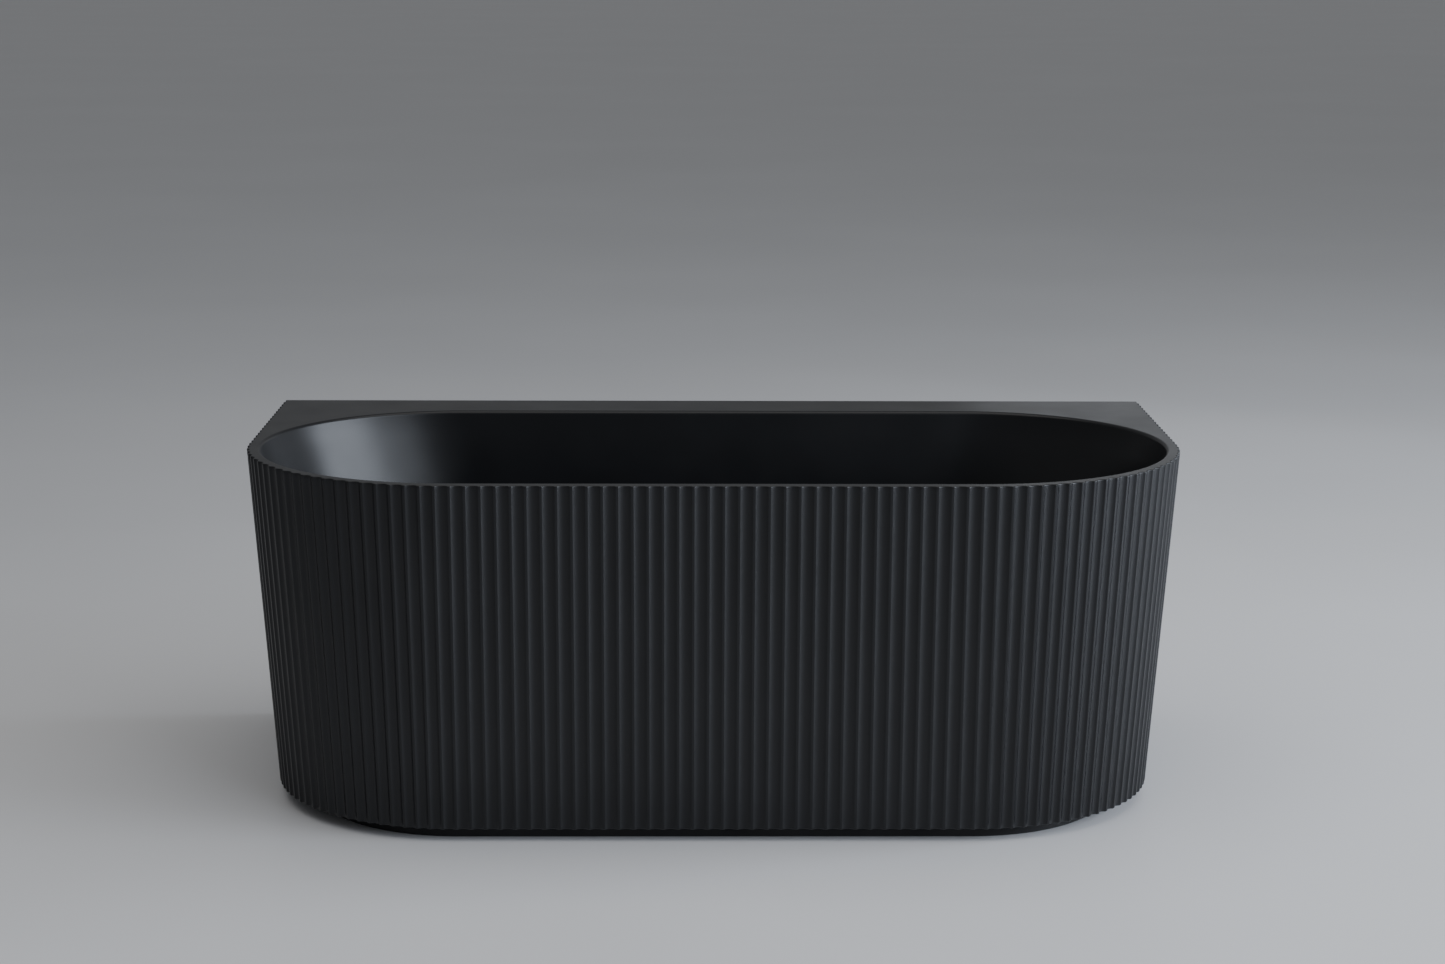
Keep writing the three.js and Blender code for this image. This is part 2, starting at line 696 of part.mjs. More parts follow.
add('basin', basinGeometry(), shellBlack);
add('fluted_skirt', skirtGeometry(), shellBlack);
add('rear_panel', rearPanelGeometry(), shellBlack);
add('plinth_ring', plinthGeometry(), plinthBlack);
add('base_board', baseBoardGeometry(), boardBrown);
add('deck_batten', deckBattenGeometry(), boardBrown);
add('cradle_rail_front', railGeometry(WASTE_Y - RAIL_SPREAD), zincSteel);
add('cradle_rail_back', railGeometry(WASTE_Y + RAIL_SPREAD), zincSteel);
for (const [side, x] of Object.entries(CROSSBAR_X)) {
  add(`cradle_crossbar_${side}`, crossbarGeometry(x), zincSteel);
}
addFeet();
addWaste();
bracketList().forEach((bracket, i) => {
  add(`skirt_bracket_${i + 1}`, bracketGeometry(bracket), zincSteel);
  add(`skirt_screw_${i + 1}`, bracketScrew(bracket), screwSteel);
});
cradleScrewPlaces().forEach((place, i) => {
  add(`cradle_screw_${i + 1}`, cradleScrew(place), screwSteel);
});
panelScrewPlaces().forEach((place, i) => {
  add(`rear_panel_screw_${i + 1}`, panelScrew(place), screwSteel);
});

export default bath;
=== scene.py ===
"""Looks of a back-to-wall bathtub with a fluted skirt. Metres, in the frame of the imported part."""
import json
import math

import bpy
from mathutils import Matrix, Vector
from mathutils.geometry import tessellate_polygon


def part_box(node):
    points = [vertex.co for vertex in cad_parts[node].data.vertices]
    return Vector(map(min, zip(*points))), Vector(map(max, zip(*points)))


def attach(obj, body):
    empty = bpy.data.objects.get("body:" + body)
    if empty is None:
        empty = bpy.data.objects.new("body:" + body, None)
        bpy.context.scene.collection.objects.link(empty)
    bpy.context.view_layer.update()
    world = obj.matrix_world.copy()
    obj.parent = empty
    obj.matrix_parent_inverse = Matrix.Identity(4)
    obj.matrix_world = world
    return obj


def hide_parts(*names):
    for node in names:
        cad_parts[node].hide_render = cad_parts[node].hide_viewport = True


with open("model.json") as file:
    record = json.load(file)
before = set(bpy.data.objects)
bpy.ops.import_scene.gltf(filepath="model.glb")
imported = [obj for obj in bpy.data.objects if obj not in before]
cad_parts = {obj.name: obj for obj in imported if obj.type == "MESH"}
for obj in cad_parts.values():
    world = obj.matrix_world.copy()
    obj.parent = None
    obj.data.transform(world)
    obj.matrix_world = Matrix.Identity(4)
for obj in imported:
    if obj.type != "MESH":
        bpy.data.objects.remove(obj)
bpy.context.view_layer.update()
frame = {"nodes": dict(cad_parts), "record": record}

MM = 0.001


def middle(node):
    """The middle of a node's box in plan, and its lowest and highest height."""
    low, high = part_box(node)
    return ((low[0] + high[0]) / 2, (low[1] + high[1]) / 2), low[2], high[2]


def half_width(node):
    """Half the width of a node's box, which is the radius of a round node."""
    low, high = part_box(node)
    return (high[0] - low[0]) / 2


# -------------------------------------------------------------------------------------------------
# Sizes. Those that the frame's boxes hold are read from them.

BASIN_LOW, BASIN_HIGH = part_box("basin")
SKIRT_LOW, SKIRT_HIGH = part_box("fluted_skirt")
PLINTH_LOW, PLINTH_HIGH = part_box("plinth_ring")

HEIGHT = BASIN_HIGH[2]
HALF_LENGTH = BASIN_HIGH[0]
FRONT_Y = BASIN_LOW[1]
BACK_Y = BASIN_HIGH[1]
FIT_GAP = 0.3 * MM          # left between pieces that touch on the real bath
JOIN_OVERLAP = 1 * MM       # how far one shape of a piece reaches into the next

# The D-shaped outline at the rim
CORNER_RADIUS = 350 * MM
ARC_X = HALF_LENGTH - CORNER_RADIUS
ARC_Y = FRONT_Y + CORNER_RADIUS
ARC_LENGTH = CORNER_RADIUS * math.pi / 2
HALF_PATH = ARC_X + ARC_LENGTH + BACK_Y - ARC_Y
PLINTH_END_INSET = 72 * MM
SKIRT_BOTTOM = SKIRT_LOW[2]
TAPER = HALF_LENGTH - PLINTH_HIGH[0] - PLINTH_END_INSET

# Flutes: round hollows between narrow flat lands, whose edges are rounded to meet the hollows
FLUTE_COUNT = 119
FLUTE_DEPTH = 4 * MM
HALF_PITCH = HALF_PATH / FLUTE_COUNT
HALF_LAND = 1.6 * MM
LAND_EDGE = 0.8 * MM
EDGE_STEPS = 3
HOLLOW_STEPS = 6
BACK_CORNER = 7 * MM        # round-over where the ends meet the flat back

# Basin
LIP_BOTTOM = SKIRT_HIGH[2]
FRONT_RIM = 20 * MM
END_RIM = 16 * MM
DECK_WIDTH = 103 * MM
OUTER_EDGE = 1.6 * MM       # round-over on the rim's outer edge
INNER_EDGE = 6 * MM         # round-over from the rim into the bowl
FLAT_STRIP = 0.4 * MM       # flat strips beside the rounded edges, on the rim and on the floor
FLOOR_STRIP = 1 * MM
BASIN_WALL = 6 * MM
FLOOR_TOP = BASIN_LOW[2] + BASIN_WALL
BOWL_DEPTH = HEIGHT - FLOOR_TOP
END_SLOPE = 0.36            # how far the wall comes in for each unit of depth
SIDE_SLOPE = 0.14
FILLET_HEIGHT = 100 * MM
END_FILLET = 110 * MM
SIDE_FILLET = 90 * MM
WALL_RUN = BOWL_DEPTH - FILLET_HEIGHT - INNER_EDGE
END_FOOT = INNER_EDGE + END_SLOPE * WALL_RUN        # inset where the wall meets the fillet
SIDE_FOOT = INNER_EDGE + SIDE_SLOPE * WALL_RUN
WASTE_HOLE = 23 * MM

# Skirt
SKIRT_WALL = 8.5 * MM
SKIRT_EDGE = 2.5 * MM       # round-over along the skirt's bottom edge
FLANGE_THICKNESS = 6 * MM
FLANGE_OVERLAP = 12 * MM    # how far the bottom flange reaches over the plinth
RETURN_WIDTH = 34 * MM      # the upright flange beside the back panel
RETURN_THICKNESS = 6 * MM

# Plinth, a smaller D than the skirt
PLINTH_CORNER = 240 * MM
PLINTH_ARC_X = PLINTH_HIGH[0] - PLINTH_CORNER
PLINTH_ARC_Y = PLINTH_LOW[1] + PLINTH_CORNER
PLINTH_WIDTH = 20 * MM
PLINTH_EDGE = 1.5 * MM

# Waste
TAIL_BORE = 19 * MM
TAIL_RADIUS = 22 * MM
WASTE_RIM = half_width("waste_flange")
WASTE_Y = middle("waste_flange")[0][1]
BACKNUT_RADIUS = 34 * MM    # to its corners
BRIDGE_LOW = 92 * MM        # the bridge that holds the cartridge
BRIDGE_HIGH = 96 * MM
BRIDGE_HUB = 8 * MM

# Feet
FOOT_COUNT = 6
PAD_NECK = 13 * MM
ROD_RADIUS = 6 * MM
ROD_COLLAR = 10 * MM        # the hexagon collar, to its corners
COLLAR_HEIGHT = 5 * MM
LOCKNUT_RADIUS = 11 * MM    # to its corners
LOCKNUT_BORE = 6.4 * MM
RIB_COUNT = 12              # on a foot's pad
RIB_HEIGHT = 0.9 * MM

# Threads and nuts
FOOT_PITCH = 1.75 * MM
TAIL_PITCH = 2.3 * MM
CARTRIDGE_PITCH = 1.25 * MM
SCREW_PITCH = 1.3 * MM
FLANK_SLOPE = 1.3           # above 1, which leaves a flat at the thread's root
CHAMFER_RUN = 1.7           # how much a nut's chamfer widens for each unit of height

# Meshes
SIDES = 96                  # round a turned piece
NARROW_SIDES = 48           # round a narrow one
SHARP_ANGLE = math.radians(35)
BEVEL_ANGLE = math.radians(50)
# The kept nodes' bevels, by material slot
BEVELS = {"zinc_steel": 0.6 * MM, "particle_board": 0.8 * MM, "shell_black": 0.6 * MM}

# -------------------------------------------------------------------------------------------------
# Materials

NOISE_LOW = 0.3             # most of a noise texture's values lie between these
NOISE_HIGH = 0.7


def new_material(name):
    """A material with its principled shader and a noise source in the object's own metres."""
    material = bpy.data.materials.new(name)
    material.use_nodes = True
    nodes = material.node_tree.nodes
    shader = next(n for n in nodes if n.type == "BSDF_PRINCIPLED")
    place = nodes.new("ShaderNodeTexCoord")
    return material, nodes, material.node_tree.links, shader, place.outputs["Object"]


def noise(nodes, links, place, scale, detail):
    """The value of a noise texture, with `scale` features to the metre."""
    texture = nodes.new("ShaderNodeTexNoise")
    texture.inputs["Scale"].default_value = scale
    texture.inputs["Detail"].default_value = detail
    links.new(place, texture.inputs["Vector"])
    return texture.outputs["Fac"]


def ramp(nodes, links, value, stops):
    """A colour that follows `value` through (position, rgb) stops."""
    node = nodes.new("ShaderNodeValToRGB")
    elements = node.color_ramp.elements
    while len(elements) < len(stops):
        elements.new(0.5)
    for element, (position, rgb) in zip(elements, stops):
        element.position = position
        element.color = (*rgb, 1.0)
    links.new(value, node.inputs["Fac"])
    return node.outputs["Color"]


def spread(nodes, links, value, low, high):
    """The usual range of a noise value, moved to between low and high."""
    node = nodes.new("ShaderNodeMapRange")
    node.inputs["From Min"].default_value = NOISE_LOW
    node.inputs["From Max"].default_value = NOISE_HIGH
    node.inputs["To Min"].default_value = low
    node.inputs["To Max"].default_value = high
    links.new(value, node.inputs["Value"])
    return node.outputs["Result"]


def mottle(nodes, links, value, dark, light):
    """A colour from dark to light over the usual range of a noise value."""
    return ramp(nodes, links, value, [(NOISE_LOW, dark), (NOISE_HIGH, light)])


def bump(nodes, links, shader, height, strength, distance):
    """Relief that is `distance` metres deep at full strength."""
    node = nodes.new("ShaderNodeBump")
    node.inputs["Strength"].default_value = strength
    node.inputs["Distance"].default_value = distance
    links.new(height, node.inputs["Height"])
    links.new(node.outputs["Normal"], shader.inputs["Normal"])


def coated(name, dark, light, rough_low, rough_high, grain):
    """A moulded or coated surface: slight mottling, uneven gloss and a very fine grain."""
    material, nodes, links, shader, place = new_material(name)
    cloud = noise(nodes, links, place, scale=9.0, detail=4.0)
    speck = noise(nodes, links, place, scale=grain, detail=2.0)
    links.new(mottle(nodes, links, cloud, dark, light), shader.inputs["Base Color"])
    smear = noise(nodes, links, place, scale=12.0, detail=3.0)
    links.new(spread(nodes, links, smear, rough_low, rough_high), shader.inputs["Roughness"])
    bump(nodes, links, shader, speck, strength=0.25, distance=0.01 * MM)
    shader.inputs["Specular IOR Level"].default_value = 0.4
    return material


def metal(name, dark, light, rough_low, rough_high, grain):
    """Plated metal with a spangled surface."""
    material, nodes, links, shader, place = new_material(name)
    shader.inputs["Metallic"].default_value = 1.0
    spangle = noise(nodes, links, place, scale=grain, detail=6.0)
    links.new(mottle(nodes, links, spangle, dark, light), shader.inputs["Base Color"])
    links.new(spread(nodes, links, spangle, rough_low, rough_high), shader.inputs["Roughness"])
    bump(nodes, links, shader, spangle, strength=0.2, distance=0.03 * MM)
    return material


def board(name):
    """Particle board: pressed wood flakes of several browns."""
    material, nodes, links, shader, place = new_material(name)
    flakes = nodes.new("ShaderNodeTexVoronoi")
    flakes.inputs["Scale"].default_value = 260.0
    links.new(place, flakes.inputs["Vector"])
    fleck = noise(nodes, links, place, scale=90.0, detail=8.0)
    mixed = nodes.new("ShaderNodeMath")
    mixed.operation = "MULTIPLY_ADD"
    mixed.inputs[1].default_value = 0.45
    links.new(flakes.outputs["Distance"], mixed.inputs[0])
    links.new(fleck, mixed.inputs[2])
    browns = [(0.35, (0.20, 0.12, 0.06)), (0.6, (0.42, 0.28, 0.15)), (0.85, (0.58, 0.42, 0.25))]
    links.new(ramp(nodes, links, mixed.outputs[0], browns), shader.inputs["Base Color"])
    links.new(spread(nodes, links, fleck, 0.7, 0.9), shader.inputs["Roughness"])
    bump(nodes, links, shader, mixed.outputs[0], strength=0.5, distance=0.3 * MM)
    return material


def floor_material():
    """Pale, slightly glossy stone with broad clouds."""
    material, nodes, links, shader, place = new_material("pale_floor")
    cloud = noise(nodes, links, place, scale=0.7, detail=3.0)
    colour = mottle(nodes, links, cloud, (0.69, 0.69, 0.70), (0.73, 0.73, 0.74))
    links.new(colour, shader.inputs["Base Color"])
    links.new(spread(nodes, links, cloud, 0.42, 0.5), shader.inputs["Roughness"])
    return material


# Each is (name, dark, light, lowest roughness, highest roughness, grains to the metre)
COATED = [
    ("shell_black", (0.0030, 0.0034, 0.0046), (0.0046, 0.0050, 0.0064), 0.32, 0.36, 900.0),
    ("plinth_black", (0.006, 0.006, 0.007), (0.010, 0.010, 0.011), 0.55, 0.7, 900.0),
    ("waste_black", (0.010, 0.010, 0.011), (0.016, 0.016, 0.017), 0.28, 0.36, 900.0),
    ("nut_plastic", (0.020, 0.020, 0.022), (0.032, 0.032, 0.034), 0.45, 0.6, 900.0),
    ("pad_plastic", (0.016, 0.016, 0.017), (0.028, 0.028, 0.030), 0.5, 0.65, 500.0),
    ("seal_rubber", (0.010, 0.010, 0.010), (0.022, 0.021, 0.020), 0.75, 0.9, 1500.0),
]
METALS = [
    ("zinc_steel", (0.34, 0.36, 0.38), (0.56, 0.58, 0.60), 0.32, 0.5, 45.0),
    ("screw_steel", (0.50, 0.50, 0.49), (0.68, 0.68, 0.66), 0.2, 0.34, 300.0),
]
SLOT_MATERIALS = {values[0]: coated(*values) for values in COATED}
SLOT_MATERIALS.update((values[0], metal(*values)) for values in METALS)
SLOT_MATERIALS["particle_board"] = board("particle_board")
SLOT_OF_NODE = {s["node"]: s["material_slot"] for s in frame["record"]["subparts"]}

# -------------------------------------------------------------------------------------------------
# Mesh helpers


class Skin:
    """The points and faces of one piece's closed surfaces, built ring by ring."""

    def __init__(self):
        self.points = []
        self.faces = []

    def ring(self, points):
        """Add a ring of points, and give their numbers."""
        start = len(self.points)
        self.points.extend(points)
        return list(range(start, len(self.points)))

    def wall(self, lower, upper):
        """Quads between two closed rings that match one to one."""
        for i in range(len(lower)):
            j = (i + 1) % len(lower)
            self.faces.append((lower[i], lower[j], upper[j], upper[i]))

    def plate(self, outer, inner, faces_up):
        """Triangles that fill the flat area between two rings."""
        index = outer + inner
        loops = [[self.points[i] for i in loop] for loop in (outer, inner)]
        for a, b, c in tessellate_polygon(loops):
            corners = [index[a], index[b], index[c]]
            p, q, r = (self.points[i] for i in corners)
            is_up = (q - p).cross(r - p).z > 0
            if is_up != faces_up:
                corners.reverse()
            self.faces.append(tuple(corners))

    def turned(self, profile, centre, sides=SIDES):
        """A skin about an upright axis, from (reach, z) pairs up its outside. A reach is a radius,
        or a function that gives one for each angle."""
        rings = []
        for reach, z in profile:
            points = []
            for i in range(1 if reach == 0 else sides):
                angle = 2 * math.pi * i / sides
                radius = reach(angle) if callable(reach) else reach
                points.append(Vector((
                    centre[0] + radius * math.cos(angle),
                    centre[1] + radius * math.sin(angle),
                    z,
                )))
            rings.append(self.ring(points))
        for lower, upper in zip(rings, rings[1:]):
            self.join(lower, upper)
        if profile[0][0] != 0:
            self.join(rings[-1], rings[0])

    def block(self, low, high, edge):
        """A box with chamfered edges."""
        rings = []
        for z, inset in ((low[2], edge), (low[2] + edge, 0), (high[2] - edge, 0), (high[2], edge)):
            near_x, far_x = low[0] + inset, high[0] - inset
            near_y, far_y = low[1] + inset, high[1] - inset
            rings.append(self.ring([
                Vector((near_x + edge, near_y, z)), Vector((far_x - edge, near_y, z)),
                Vector((far_x, near_y + edge, z)), Vector((far_x, far_y - edge, z)),
                Vector((far_x - edge, far_y, z)), Vector((near_x + edge, far_y, z)),
                Vector((near_x, far_y - edge, z)), Vector((near_x, near_y + edge, z)),
            ]))
        for lower, upper in zip(rings, rings[1:]):
            self.wall(lower, upper)
        self.faces.append(tuple(reversed(rings[0])))
        self.faces.append(tuple(rings[-1]))

    def join(self, lower, upper):
        """Wall between two rings, either of which may be a single point."""
        if len(lower) == len(upper):
            self.wall(lower, upper)
        elif len(lower) == 1:
            for i in range(len(upper)):
                self.faces.append((lower[0], upper[(i + 1) % len(upper)], upper[i]))
        else:
            for i in range(len(lower)):
                self.faces.append((lower[i], lower[(i + 1) % len(lower)], upper[0]))

    def piece(self, name, node, body):
        """Make a smooth-shaded object of the surface, which replaces a CAD node."""
        mesh = bpy.data.meshes.new(name)
        mesh.from_pydata([tuple(p) for p in self.points], [], self.faces)
        mesh.validate()
        mesh.update()
        for polygon in mesh.polygons:
            polygon.use_smooth = True
        mesh.set_sharp_from_angle(angle=SHARP_ANGLE)
        slot = SLOT_OF_NODE[node]
        mesh.materials.append(SLOT_MATERIALS[slot])
        piece = bpy.data.objects.new(name, mesh)
        bpy.context.scene.collection.objects.link(piece)
        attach(piece, body)
        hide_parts(node)


# -------------------------------------------------------------------------------------------------
# Outlines


def inset_at(z):
    """How far the tapered skirt has come in from the rim's line, at a height."""
    return TAPER * (HEIGHT - z) / (HEIGHT - SKIRT_BOTTOM)


def outline_point(along, inset):
    """A point `along` the outline from the front's middle, set in by `inset` from the rim's line."""
    side = math.copysign(1.0, along)
    run = abs(along)
    if run <= ARC_X:
        return along, FRONT_Y + inset
    if run <= ARC_X + ARC_LENGTH:
        angle = (run - ARC_X) / CORNER_RADIUS
        radius = CORNER_RADIUS - inset
        return side * (ARC_X + radius * math.sin(angle)), ARC_Y - radius * math.cos(angle)
    return side * (HALF_LENGTH - inset), ARC_Y + run - ARC_X - ARC_LENGTH


def flute_curve():
    """The turn from a land into a hollow, and the radius of the hollow's arc."""
    run = HALF_PITCH - HALF_LAND
    turn = 2 * math.atan(FLUTE_DEPTH / run)
    return turn, run / math.sin(turn) - LAND_EDGE


def half_flute():
    """(distance from the middle of a land, depth) pairs down to the middle of the hollow."""
    turn, hollow = flute_curve()
    half = []
    for i in range(EDGE_STEPS):
        angle = turn * i / EDGE_STEPS
        half.append((HALF_LAND + LAND_EDGE * math.sin(angle), LAND_EDGE * (1 - math.cos(angle))))
    for i in range(HOLLOW_STEPS + 1):
        angle = turn * (1 - i / HOLLOW_STEPS)
        half.append((HALF_PITCH - hollow * math.sin(angle), FLUTE_DEPTH - hollow * (1 - math.cos(angle))))
    return half


def corner_depth(along):
    """How far the round-over at the back corner draws in the outline, `along` it."""
    reach = max(0.0, BACK_CORNER - (HALF_PATH - abs(along)))
    return BACK_CORNER - math.sqrt(max(0.0, BACK_CORNER ** 2 - reach ** 2))


def hollow_depth(run):
    """The flute's depth at `run` from the middle of a land, up to the middle of the hollow."""
    half = half_flute()
    for (near, shallow), (far, deep) in zip(half, half[1:]):
        if near <= run <= far:
            return shallow + (deep - shallow) * (run - near) / (far - near)
    return 0.0


def stations(corner_steps=8):
    """(along, depth) pairs from the left back corner round the front to the right one."""
    half = half_flute()
    places = []
    for flute in range(FLUTE_COUNT):
        start = -HALF_PATH + 2 * HALF_PITCH * flute
        places += [(start + run, depth) for run, depth in half]
        places += [(start + 2 * HALF_PITCH - run, depth) for run, depth in reversed(half[:-1])]
    inner = [(along, depth) for along, depth in places if abs(along) < HALF_PATH - BACK_CORNER]
    corner = []
    for i in range(corner_steps + 1):
        angle = math.pi / 2 * i / corner_steps
        along = HALF_PATH - BACK_CORNER * (1 - math.sin(angle))
        corner.append((along, max(corner_depth(along), hollow_depth(HALF_PATH - along))))
    return [(-along, depth) for along, depth in reversed(corner)] + inner + corner


STATIONS = stations()


def bowl_ring(end_inset, side_inset, z, steps=40, straight_steps=12):
    """One level of the bowl: quarter arcs whose ends meet on the line y = ARC_Y."""
    half_length = HALF_LENGTH - END_RIM - end_inset
    front_radius = ARC_Y - (FRONT_Y + FRONT_RIM + side_inset)
    back_radius = BACK_Y - DECK_WIDTH - side_inset - ARC_Y
    right = []
    for i in range(steps + 1):
        angle = math.pi / 2 * i / steps
        right.append((
            half_length - front_radius * (1 - math.sin(angle)),
            ARC_Y - front_radius * math.cos(angle),
        ))
    for i in range(1, steps + 1):
        angle = math.pi / 2 * i / steps
        right.append((
            half_length - back_radius * (1 - math.cos(angle)),
            ARC_Y + back_radius * math.sin(angle),
        ))
    back_x = right[-1][0]
    front_x = right[0][0]
    points = list(right)
    for i in range(1, straight_steps):
        points.append((back_x * (1 - 2 * i / straight_steps), right[-1][1]))
    points.extend((-x, y) for x, y in reversed(right))
    for i in range(1, straight_steps):
        points.append((-front_x * (1 - 2 * i / straight_steps), right[0][1]))
    return [Vector((x, y, z)) for x, y in points]


def bowl_levels(thicken, edge_steps=8, wall_steps=10, fillet_steps=16):
    """Rings from the rim down to the floor, moved outwards by `thicken` for the underside."""
    levels = []
    for i in range(edge_steps):
        angle = math.pi / 2 * i / edge_steps
        inset = INNER_EDGE * math.sin(angle)
        levels.append((INNER_EDGE * (1 - math.cos(angle)), inset, inset))
    for i in range(wall_steps):
        run = WALL_RUN * i / wall_steps
        levels.append((INNER_EDGE + run, INNER_EDGE + END_SLOPE * run, INNER_EDGE + SIDE_SLOPE * run))
    for i in range(fillet_steps + 1):
        angle = math.pi / 2 * i / fillet_steps
        levels.append((
            BOWL_DEPTH - FILLET_HEIGHT * (1 - math.sin(angle)),
            END_FOOT + END_FILLET * (1 - math.cos(angle)),
            SIDE_FOOT + SIDE_FILLET * (1 - math.cos(angle)),
        ))
    rings = []
    for depth, end, side in levels:
        drop = thicken * max(0.0, (depth - BOWL_DEPTH + FILLET_HEIGHT) / FILLET_HEIGHT)
        rings.append(bowl_ring(end - thicken, side - thicken, HEIGHT - depth - drop))
    return rings


# -------------------------------------------------------------------------------------------------
# Basin, skirt and plinth


def rim_ring(z, extra):
    """The rim's fluted line, closed along the straight back."""
    inset = inset_at(z) + extra
    points = [outline_point(along, inset + depth) for along, depth in STATIONS]
    return [Vector((x, min(y, BACK_Y - extra), z)) for x, y in points]


def circle_ring(radius, z, sides=64):
    """A circle round the waste."""
    return [
        Vector((radius * math.cos(a), WASTE_Y + radius * math.sin(a), z))
        for a in (2 * math.pi * i / sides for i in range(sides))
    ]


def make_basin(edge_steps=4):
    """One shell: the rim's outer face, the rim and deck, the bowl and its underside."""
    skin = Skin()
    rows = [skin.ring(rim_ring(LIP_BOTTOM, 0.0))]
    for i in range(edge_steps + 1):
        angle = math.pi / 2 * i / edge_steps
        z = HEIGHT - OUTER_EDGE * (1 - math.sin(angle))
        rows.append(skin.ring(rim_ring(z, OUTER_EDGE * (1 - math.cos(angle)))))
    for lower, upper in zip(rows, rows[1:]):
        skin.wall(lower, upper)
    # A narrow flat strip beside each rounded edge keeps the wide flat faces evenly shaded.
    outer_strip = skin.ring(rim_ring(HEIGHT, OUTER_EDGE + FLAT_STRIP))
    inner_strip = skin.ring(bowl_ring(-FLAT_STRIP, -FLAT_STRIP, HEIGHT))
    inside = [skin.ring(level) for level in bowl_levels(0.0)]
    skin.wall(rows[-1], outer_strip)
    skin.plate(outer_strip, inner_strip, faces_up=True)
    for upper, lower in zip([inner_strip] + inside, inside):
        skin.wall(upper, lower)
    end_inset = END_FOOT + END_FILLET + FLOOR_STRIP
    side_inset = SIDE_FOOT + SIDE_FILLET + FLOOR_STRIP
    floor_strip = skin.ring(bowl_ring(end_inset, side_inset, FLOOR_TOP))
    skin.wall(inside[-1], floor_strip)
    hole_top = skin.ring(circle_ring(WASTE_HOLE, FLOOR_TOP))
    hole_bottom = skin.ring(circle_ring(WASTE_HOLE, FLOOR_TOP - BASIN_WALL))
    skin.plate(floor_strip, hole_top, faces_up=True)
    skin.wall(hole_top, hole_bottom)
    lip_inset = INNER_EDGE - BASIN_WALL
    underside = [skin.ring(bowl_ring(lip_inset, lip_inset, LIP_BOTTOM))]
    # Its first two levels lie above the lip's bottom.
    below_lip = bowl_levels(BASIN_WALL, edge_steps=1, wall_steps=4, fillet_steps=8)[2:]
    underside += [skin.ring(level) for level in below_lip]
    skin.plate(rows[0], underside[0], faces_up=False)
    for upper, lower in zip(underside, underside[1:]):
        skin.wall(lower, upper)
    skin.plate(underside[-1], hole_bottom, faces_up=False)
    skin.piece("basin_shell", "basin", "tub")


def skirt_column(along, depth, wall_rows=6, edge_rows=4):
    """The skirt's section at one place of its outline, down the outside and up the inside."""
    top = SKIRT_HIGH[2]
    section = []
    for i in range(wall_rows):
        section.append((top + (SKIRT_BOTTOM + SKIRT_EDGE - top) * i / wall_rows, depth))
    for i in range(edge_rows + 1):
        angle = math.pi / 2 * i / edge_rows
        z = SKIRT_BOTTOM + SKIRT_EDGE * (1 - math.sin(angle))
        section.append((z, depth + SKIRT_EDGE * (1 - math.cos(angle))))
    outer = [(*outline_point(along, inset_at(z) + inset), z) for z, inset in section]
    flange_top = SKIRT_BOTTOM + FLANGE_THICKNESS
    flange = [(*plinth_point(along, FLANGE_OVERLAP), z) for z in (SKIRT_BOTTOM, flange_top)]
    inner = [(*outline_point(along, inset_at(z) + SKIRT_WALL), z) for z in (flange_top, top)]
    return [Vector(point) for point in outer + flange + inner]


def make_skirt():
    """The fluted wall with its bottom flange, and an upright flange at each end."""
    skin = Skin()
    columns = [skin.ring(skirt_column(along, depth)) for along, depth in STATIONS]
    for left, right in zip(columns, columns[1:]):
        skin.wall(left, right)
    skin.faces.append(tuple(reversed(columns[0])))
    skin.faces.append(tuple(columns[-1]))
    for side in (-1, 1):
        add_return(skin, side)
    skin.piece("skirt_shell", "fluted_skirt", "tub")


def add_return(skin, side):
    """The skirt's upright flange beside the back panel, which follows the end's slope."""
    far_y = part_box("rear_panel")[0][1] - FIT_GAP
    rings = []
    for z in (SKIRT_BOTTOM + FLANGE_THICKNESS / 2, SKIRT_HIGH[2]):
        outer = side * (HALF_LENGTH - inset_at(z) - SKIRT_WALL + JOIN_OVERLAP)
        inner = outer - side * RETURN_WIDTH
        near, far = min(outer, inner), max(outer, inner)
        near_y = far_y - RETURN_THICKNESS
        corners = [(near, near_y), (far, near_y), (far, far_y), (near, far_y)]
        rings.append(skin.ring([Vector((x, y, z)) for x, y in corners]))
    skin.wall(*rings)
    skin.faces.append(tuple(reversed(rings[0])))
    skin.faces.append(tuple(rings[1]))


def plinth_point(along, inset):
    """The point of the plinth's outline beside a place on the skirt's outline."""
    side = math.copysign(1.0, along)
    run = abs(along)
    radius = PLINTH_CORNER - inset
    if run <= ARC_X:
        return along * PLINTH_ARC_X / ARC_X, PLINTH_ARC_Y - radius
    if run <= ARC_X + ARC_LENGTH:
        angle = (run - ARC_X) / CORNER_RADIUS
        return side * (PLINTH_ARC_X + radius * math.sin(angle)), PLINTH_ARC_Y - radius * math.cos(angle)
    share = (run - ARC_X - ARC_LENGTH) / (BACK_Y - ARC_Y)
    return side * (PLINTH_ARC_X + radius), PLINTH_ARC_Y + share * (BACK_Y - PLINTH_ARC_Y)


def plinth_outline(inset, back_y, steps=40):
    """The plinth's D, closed along the straight back."""
    right = []
    radius = PLINTH_CORNER - inset
    for i in range(steps + 1):
        angle = math.pi / 2 * i / steps
        right.append((PLINTH_ARC_X + radius * math.sin(angle), PLINTH_ARC_Y - radius * math.cos(angle)))
    right.append((PLINTH_ARC_X + radius, back_y))
    return right + [(-x, y) for x, y in reversed(right)]


